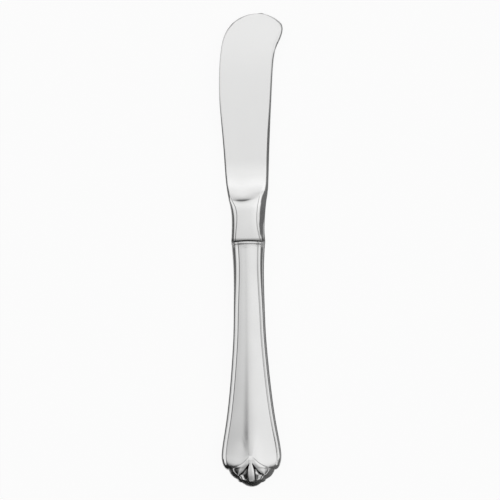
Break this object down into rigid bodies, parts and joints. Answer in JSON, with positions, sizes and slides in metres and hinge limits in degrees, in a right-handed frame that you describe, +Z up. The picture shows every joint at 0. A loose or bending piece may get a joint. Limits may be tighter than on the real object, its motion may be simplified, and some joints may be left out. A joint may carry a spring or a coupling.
{
  "type": "butter knife",
  "caption": "Flat table knife for butter: blunt blade with a hooked nose, waisted bolster, and a hollow flared handle with a framed face that ends in a palmette.",
  "frame": {"origin": "middle of the bounding box, on the plane the knife lies on", "axes": "+Y towards the blade's tip, +Z up out of the front face, +X towards the spine and the hooked nose"},
  "size_m": [0.0256, 0.18, 0.0086],
  "materials": {
    "blade_steel": "satin stainless steel, brushed along the blade, blunt rounded edges",
    "handle_steel": "satin sheet steel with a brighter frame, darker in the grooves",
    "braze": "brazing metal, dull",
    "cement": "cast handle cement, matt"
  },
  "bodies": {
    "root": {"blade": "blade_steel", "handle_front": "handle_steel", "handle_back": "handle_steel", "seam_braze": "braze", "tang_cement": "cement"}
  },
  "joints": []
}
